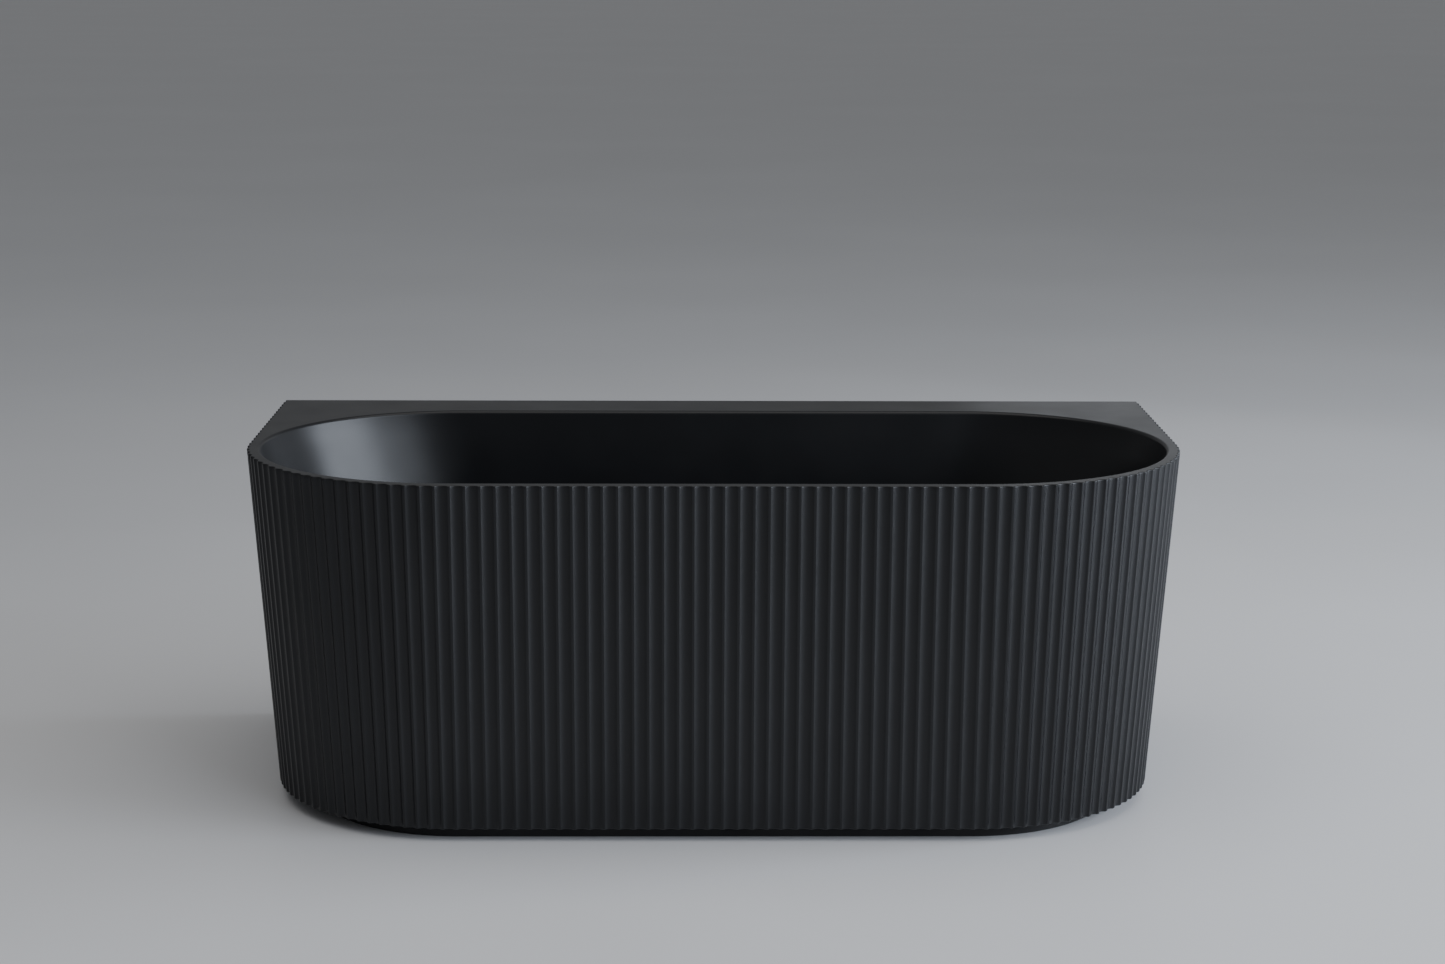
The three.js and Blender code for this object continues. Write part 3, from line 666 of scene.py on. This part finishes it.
def make_plinth():
    """A ring with chamfered upper edges."""
    skin = Skin()
    low, high = PLINTH_LOW[2], PLINTH_HIGH[2]
    section = [
        (0, low), (0, high - PLINTH_EDGE), (PLINTH_EDGE, high),
        (PLINTH_WIDTH - PLINTH_EDGE, high), (PLINTH_WIDTH, high - PLINTH_EDGE), (PLINTH_WIDTH, low),
    ]
    rings = []
    for inset, z in section:
        outline = plinth_outline(inset, PLINTH_HIGH[1] - inset)
        rings.append(skin.ring([Vector((x, y, z)) for x, y in outline]))
    for lower, upper in zip(rings, rings[1:] + rings[:1]):
        skin.wall(lower, upper)
    skin.piece("plinth_base", "plinth_ring", "tub")


# -------------------------------------------------------------------------------------------------
# Threads, nuts and rounded rings


def polygon_reach(corners, circumradius, limit):
    """The reach of an upright regular polygon with a corner on +Y, cut off at `limit`."""
    step = 2 * math.pi / corners

    def reach(angle):
        off = (angle - math.pi / 2) % step - step / 2
        return min(limit, circumradius * math.cos(step / 2) / math.cos(off))

    return reach


def nut_rows(low, high, circumradius, corners=6, steps=4):
    """Rows up the outside of a nut whose corners are chamfered at both faces."""
    flat = circumradius * math.cos(math.pi / corners)
    height = (circumradius - flat) / CHAMFER_RUN
    levels = [height * i / steps for i in range(steps + 1)]
    rows = []
    for level in levels:
        rows.append((polygon_reach(corners, circumradius, flat + level * CHAMFER_RUN), low + level))
    for level in reversed(levels):
        rows.append((polygon_reach(corners, circumradius, flat + level * CHAMFER_RUN), high - level))
    return rows


def thread_reach(turns, crest, depth):
    """The reach of a screw thread `turns` pitches up from its start."""

    def reach(angle):
        phase = (turns - angle / (2 * math.pi)) % 1.0
        return crest - depth * min(1.0, FLANK_SLOPE * abs(2 * phase - 1))

    return reach


def thread_rows(low, high, crest, depth, pitch, rows_per_turn=6):
    """Rows up a screw thread that runs out within one pitch of both ends."""
    count = round((high - low) / pitch * rows_per_turn)
    rows = []
    for i in range(count + 1):
        z = low + (high - low) * i / count
        fade = max(0.0, min(1.0, (z - low) / pitch, (high - z) / pitch))
        rows.append((thread_reach(z / pitch, crest, depth * fade), z))
    return rows


def arc_rows(centre_radius, centre_z, radius, start, end, steps=4):
    """Rows along an arc of the profile, between two angles in degrees from outwards to upwards."""
    rows = []
    for i in range(steps + 1):
        angle = math.radians(start + (end - start) * i / steps)
        rows.append((centre_radius + radius * math.cos(angle), centre_z + radius * math.sin(angle)))
    return rows


def ring_rows(inner, outer, low, high, edge):
    """Rows round a flat ring with rounded edges."""
    return [
        *arc_rows(inner + edge, low + edge, edge, 180, 270),
        *arc_rows(outer - edge, low + edge, edge, -90, 0),
        *arc_rows(outer - edge, high - edge, edge, 0, 90),
        *arc_rows(inner + edge, high - edge, edge, 90, 180),
    ]


def turned_piece(node, body, profile, sides=SIDES):
    """A turned piece in the place of a CAD node."""
    skin = Skin()
    skin.turned(profile, middle(node)[0], sides)
    skin.piece(node + "_turned", node, body)


# -------------------------------------------------------------------------------------------------
# Levelling feet


def make_foot_pad(node, body):
    """A ribbed pad with a recessed sole and a rolled edge."""
    low, high = middle(node)[1:]
    radius = half_width(node)
    recess = 0.8 * MM
    roll = 1 * MM
    lower_roll, upper_roll = low + roll, low + 2.4 * MM

    def rib(base):
        return lambda angle: base + RIB_HEIGHT * max(0.0, math.cos(RIB_COUNT * angle)) ** 4

    turned_piece(node, body, [
        (0, low + recess),
        (radius - 7 * MM, low + recess),
        (radius - 6 * MM, low),
        (radius - roll, low),
        *arc_rows(radius - roll, lower_roll, roll, -60, 0, steps=3),
        *arc_rows(radius - roll, upper_roll, roll, 0, 60, steps=3),
        (rib(radius - 4 * MM), low + 4.6 * MM),
        (rib(PAD_NECK + 5 * MM), high - 2.4 * MM),
        (PAD_NECK + 1.2 * MM, high - 1.2 * MM),
        (PAD_NECK, high - 0.5 * MM),
        (PAD_NECK - 0.5 * MM, high),
        (0, high),
    ])


def make_foot_rod(node, body):
    """A threaded rod on a hexagon collar."""
    low, high = middle(node)[1:]
    collar_top = low + COLLAR_HEIGHT
    tip = 1.5 * MM
    turned_piece(node, body, [
        (0, low),
        *nut_rows(low, collar_top, ROD_COLLAR),
        *thread_rows(collar_top, high - tip, ROD_RADIUS, depth=0.9 * MM, pitch=FOOT_PITCH),
        (ROD_RADIUS - tip, high),
        (0, high),
    ], NARROW_SIDES)


def make_nut(node, circumradius, bore, corners, edge, sides):
    """A nut with chamfered corners and a chamfered bore."""
    low, high = middle(node)[1:]
    turned_piece(node, "tub", [
        *nut_rows(low, high, circumradius, corners),
        (bore + edge, high),
        (bore, high - edge),
        (bore, low + edge),
        (bore + edge, low),
    ], sides)


def make_feet():
    for number in range(1, FOOT_COUNT + 1):
        make_foot_pad(f"foot_pad_{number}", f"foot_{number}")
        make_foot_rod(f"foot_rod_{number}", f"foot_{number}")
        make_nut(
            f"foot_locknut_{number}", LOCKNUT_RADIUS, LOCKNUT_BORE,
            corners=6, edge=0.8 * MM, sides=NARROW_SIDES,
        )


# -------------------------------------------------------------------------------------------------
# Waste


def make_waste_flange():
    """The dished flange and its threaded tail, with the bridge that holds the cartridge."""
    centre, low, high = middle("waste_flange")
    rim_low = high - 2.5 * MM
    thread_low, thread_high = low + 1 * MM, rim_low - 12 * MM
    edge = 0.8 * MM
    roll = 1.6 * MM         # round-over on the rim's upper edge
    dish = 4 * MM           # round-over from the rim into the bore
    skin = Skin()
    skin.turned([
        (TAIL_BORE, low),
        (TAIL_RADIUS - edge, low),
        (TAIL_RADIUS, low + edge),
        *thread_rows(thread_low, thread_high, TAIL_RADIUS, depth=0.9 * MM, pitch=TAIL_PITCH),
        (TAIL_RADIUS, rim_low),
        (WASTE_RIM - edge, rim_low),
        *arc_rows(WASTE_RIM - edge, rim_low + edge, edge, -60, 0, steps=3),
        *arc_rows(WASTE_RIM - roll, high - roll, roll, 20, 90, steps=5),
        (TAIL_BORE + 6 * MM, high),
        *arc_rows(TAIL_BORE + dish, high - dish, dish, 90, 180, steps=8),
    ], centre)
    add_bridge(skin, centre)
    skin.piece("waste_flange_dish", "waste_flange", "tub")


def add_bridge(skin, centre):
    """A hub on the waste's axis and an arm from it to each side of the tail."""
    edge = 0.6 * MM
    hub = BRIDGE_HUB - edge
    skin.turned([
        (0, BRIDGE_LOW),
        *arc_rows(hub, BRIDGE_LOW + edge, edge, -90, 0),
        *arc_rows(hub, BRIDGE_HIGH - edge, edge, 0, 90),
        (0, BRIDGE_HIGH),
    ], centre)
    near = BRIDGE_HUB - JOIN_OVERLAP
    far = TAIL_BORE + JOIN_OVERLAP
    half_arm = 2 * MM
    for start, end in ((-far, -near), (near, far)):
        skin.block(
            (centre[0] + start, centre[1] - half_arm, BRIDGE_LOW),
            (centre[0] + end, centre[1] + half_arm, BRIDGE_HIGH),
            0.4 * MM,
        )


def make_seal(node, body, inner, edge):
    """A flat ring with rounded edges."""
    low, high = middle(node)[1:]
    turned_piece(node, body, ring_rows(inner, half_width(node), low, high, edge))


def make_cartridge():
    """The latch's tube: a thread at its foot, a plain waist and a collar at its top."""
    low, high = middle("plug_cartridge")[1:]
    bore = 3.2 * MM
    radius = 6 * MM
    edge = 0.6 * MM
    waist = radius - 0.8 * MM
    thread_low, thread_high = low + 0.8 * MM, low + 10 * MM
    collar_low = high - 4 * MM
    turned_piece("plug_cartridge", "tub", [
        (bore, low),
        (radius - edge, low),
        (radius, low + edge),
        *thread_rows(thread_low, thread_high, radius, depth=0.6 * MM, pitch=CARTRIDGE_PITCH),
        (waist, thread_high + edge),
        (waist, collar_low),
        (radius, collar_low + edge),
        (radius, high - edge),
        (radius - edge, high),
        (bore, high),
    ], NARROW_SIDES)


def make_stem():
    """A pin with rounded ends and a groove near its foot."""
    low, high = middle("plug_stem")[1:]
    radius = 2.5 * MM
    edge = 0.5 * MM
    groove_low, groove_high = low + 3 * MM, low + 5 * MM
    groove_slope = 0.4 * MM
    turned_piece("plug_stem", "plug", [
        (0, low),
        *arc_rows(radius - edge, low + edge, edge, -90, 0),
        (radius, groove_low),
        (radius - edge, groove_low + groove_slope),
        (radius - edge, groove_high - groove_slope),
        (radius, groove_high),
        *arc_rows(radius - edge, high - edge, edge, 0, 90),
        (0, high),
    ], NARROW_SIDES)


def make_plug_cap(steps=14):
    """A domed cap with a rolled rim, a groove underneath and a socket for the stem."""
    low, high = middle("plug_cap")[1:]
    radius = half_width("plug_cap")
    socket = 2.8 * MM
    socket_top = low + 2.3 * MM
    boss = 20 * MM          # the flat middle of the underside
    groove_top = low + 1 * MM
    rim = 1.3 * MM
    dome_start = low + 2 * rim
    rise = high - dome_start
    run = radius - rim
    dome = (run ** 2 + rise ** 2) / (2 * rise)
    profile = [
        (0, socket_top),
        (socket, socket_top),
        (socket, low),
        (boss, low),
        (boss + 1 * MM, groove_top),
        (radius - 3.4 * MM, groove_top),
        (radius - 2.6 * MM, low),
        *arc_rows(radius - rim, low + rim, rim, -90, 60, steps=7),
    ]
    for i in range(1, steps):
        reach = run * (1 - i / steps)
        profile.append((reach, high - dome + math.sqrt(dome ** 2 - reach ** 2)))
    turned_piece("plug_cap", "plug", profile + [(0, high)])


def make_waste():
    round_tail = TAIL_RADIUS + FIT_GAP
    make_waste_flange()
    make_seal("waste_seal_upper", "tub", round_tail, 0.5 * MM)
    make_seal("waste_seal_lower", "tub", round_tail, 0.8 * MM)
    make_seal("plug_seal", "plug", 12 * MM, 0.8 * MM)
    make_nut("waste_backnut", BACKNUT_RADIUS, round_tail, corners=8, edge=1.2 * MM, sides=SIDES)
    make_cartridge()
    make_stem()
    make_plug_cap()


# -------------------------------------------------------------------------------------------------
# Screws


def lobed_reach(size):
    """The reach of a six-lobed recess."""
    return lambda angle: size * (0.86 + 0.14 * math.cos(6 * angle))


def make_screw(node, heads):
    """A countersunk screw with a six-lobed recess, whose head looks along the `heads` axis."""
    low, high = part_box(node)
    heads = Vector(heads)
    centre = (low + high) / 2
    length = abs((high - low).dot(heads))
    shank, head = 2 * MM, 4.2 * MM
    head_depth = 3 * MM
    edge = 0.2 * MM
    recess_top, recess_foot = 2 * MM, 1.8 * MM
    skin = Skin()
    skin.turned([
        (0, -length),
        (shank * 0.5, -length + shank),
        *thread_rows(-length + shank, -head_depth, shank, depth=0.45 * MM, pitch=SCREW_PITCH),
        (head, -0.6 * MM),
        (head, -edge),
        (head - edge, 0.0),
        (lobed_reach(recess_top), 0.0),
        (lobed_reach(recess_foot), -1.3 * MM),
        (0, -1.6 * MM),
    ], (0.0, 0.0), NARROW_SIDES)
    turn = Vector((0, 0, 1)).rotation_difference(heads).to_matrix().to_4x4()
    place = Matrix.Translation(centre + heads * length / 2) @ turn
    skin.points = [place @ point for point in skin.points]
    skin.piece(node + "_turned", node, "tub")


def make_screws():
    for number in range(1, 5):
        make_screw(f"skirt_screw_{number}", (0, 0, 1))
        make_screw(f"cradle_screw_{number}", (0, 0, -1))
        make_screw(f"rear_panel_screw_{number}", (0, 1, 0))


# -------------------------------------------------------------------------------------------------
# CAD nodes that keep their shape

KEPT_NODES = [
    "rear_panel", "base_board", "deck_batten", "cradle_rail_front", "cradle_rail_back",
    *(f"cradle_crossbar_{place}" for place in ("left", "mid_left", "mid_right", "right")),
    *(f"skirt_bracket_{number}" for number in range(1, 5)),
]


def finish_cad_nodes():
    """Give the boards, the panel, the tubes and the brackets their materials and soft edges."""
    for node in KEPT_NODES:
        piece = frame["nodes"][node]
        slot = SLOT_OF_NODE[node]
        for material_slot in piece.material_slots:
            material_slot.material = SLOT_MATERIALS[slot]
        bevel = piece.modifiers.new("soft_edges", "BEVEL")
        bevel.width = BEVELS[slot]
        bevel.segments = 2
        bevel.angle_limit = BEVEL_ANGLE
        bevel.harden_normals = True


# -------------------------------------------------------------------------------------------------
# Stage, light and camera


def make_floor(half=80.0):
    """A flat floor, wide enough to reach the horizon."""
    mesh = bpy.data.meshes.new("floor")
    corners = [(-half, -half, 0), (half, -half, 0), (half, half, 0), (-half, half, 0)]
    mesh.from_pydata(corners, [], [(0, 1, 2, 3)])
    mesh.materials.append(floor_material())
    floor = bpy.data.objects.new("floor", mesh)
    bpy.context.scene.collection.objects.link(floor)


def area_light(name, place, target, size, power, colour):
    """A rectangular light that faces its target."""
    light = bpy.data.lights.new(name, "AREA")
    light.shape = "RECTANGLE"
    light.size, light.size_y = size
    light.energy = power
    light.color = colour
    lamp = bpy.data.objects.new(name, light)
    lamp.location = place
    direction = Vector(target) - Vector(place)
    lamp.rotation_euler = direction.to_track_quat("-Z", "Y").to_euler()
    bpy.context.scene.collection.objects.link(lamp)


DAYLIGHT = (0.82, 0.89, 1.0)

# Each is (name, place, target, size, power, colour)
LIGHTS = [
    ("window_right", (5.7, -0.9, 2.0), (0, 0, 0.5), (5.0, 2.6), 400, DAYLIGHT),
    ("window_front", (3.9, -4.6, 2.6), (0, 0, 0.5), (3.6, 2.6), 110, DAYLIGHT),
    ("wall_glow", (2.3, 3.2, 1.2), (0.4, 0.3, 1.2), (3.4, 1.0), 5.3, (0.90, 0.94, 1.0)),
    ("ceiling", (0.1, -0.6, 3.5), (0, 0, 0), (4.5, 3.5), 56, (1.0, 0.98, 0.95)),
]
SKY_COLOUR = (0.92, 0.94, 0.97, 1.0)
SKY_STRENGTH = 0.24


def make_lights():
    """Large soft windows at the right and in front, a dim wall, a ceiling and an even sky."""
    for values in LIGHTS:
        area_light(*values)
    world = bpy.data.worlds.new("studio")
    world.use_nodes = True
    background = world.node_tree.nodes["Background"]
    background.inputs["Color"].default_value = SKY_COLOUR
    background.inputs["Strength"].default_value = SKY_STRENGTH
    bpy.context.scene.world = world


def make_camera():
    """A 69 mm view from in front, 1.4 m above the floor, that looks down at the bath."""
    place = Vector((-0.044, FRONT_Y - 4.079, 1.399))
    pitch, yaw, roll = (math.radians(a) for a in (-11.393, -0.746, 0.222))
    camera = bpy.data.cameras.new("camera")
    camera.sensor_width = 36.0
    camera.lens = 69.43
    view = bpy.data.objects.new("camera", camera)
    turn = (
        Matrix.Rotation(yaw, 4, "Z")
        @ Matrix.Rotation(math.pi / 2 + pitch, 4, "X")
        @ Matrix.Rotation(roll, 4, "Z")
    )
    view.matrix_world = Matrix.Translation(place) @ turn
    bpy.context.scene.collection.objects.link(view)
    bpy.context.scene.camera = view


make_basin()
make_skirt()
make_plinth()
make_feet()
make_waste()
make_screws()
finish_cad_nodes()
make_floor()
make_lights()
make_camera()
